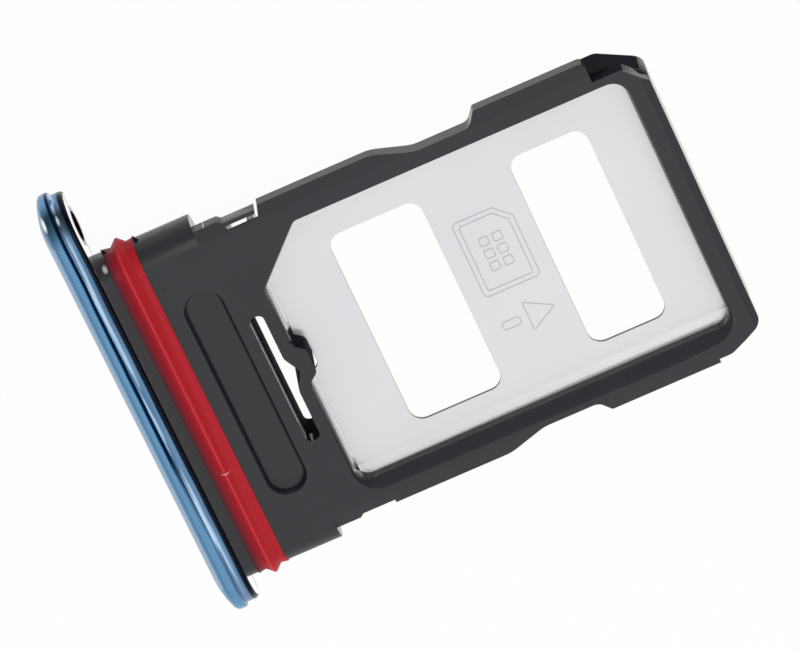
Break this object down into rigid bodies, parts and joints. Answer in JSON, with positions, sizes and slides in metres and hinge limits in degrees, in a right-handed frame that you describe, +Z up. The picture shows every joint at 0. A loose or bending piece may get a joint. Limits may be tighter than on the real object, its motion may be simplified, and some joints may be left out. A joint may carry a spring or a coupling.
{
  "type": "card tray",
  "caption": "Two-sided nano card tray for a phone: metal end cap with a pin hole, rubber seal, moulded frame and thin steel sheet between the two card bays.",
  "frame": {"origin": "middle of the footprint, level with the lower edge of the end cap", "axes": "+X is the way the tray goes into the phone, +Y is the side of the pin hole, +Z is up out of the upper bay"},
  "size_m": [0.0186, 0.015, 0.0026],
  "materials": {
    "cap_metal": "glossy blue anodised aluminium with a bare machined back",
    "body_plastic": "black glass-filled moulding, fine matte",
    "sheet_steel": "matte stainless sheet",
    "seal_rubber": "satin red silicone"
  },
  "bodies": {
    "root": {"end_cap": "cap_metal", "tray_body": "body_plastic", "card_plate": "sheet_steel", "seal_ring": "seal_rubber"}
  },
  "joints": []
}
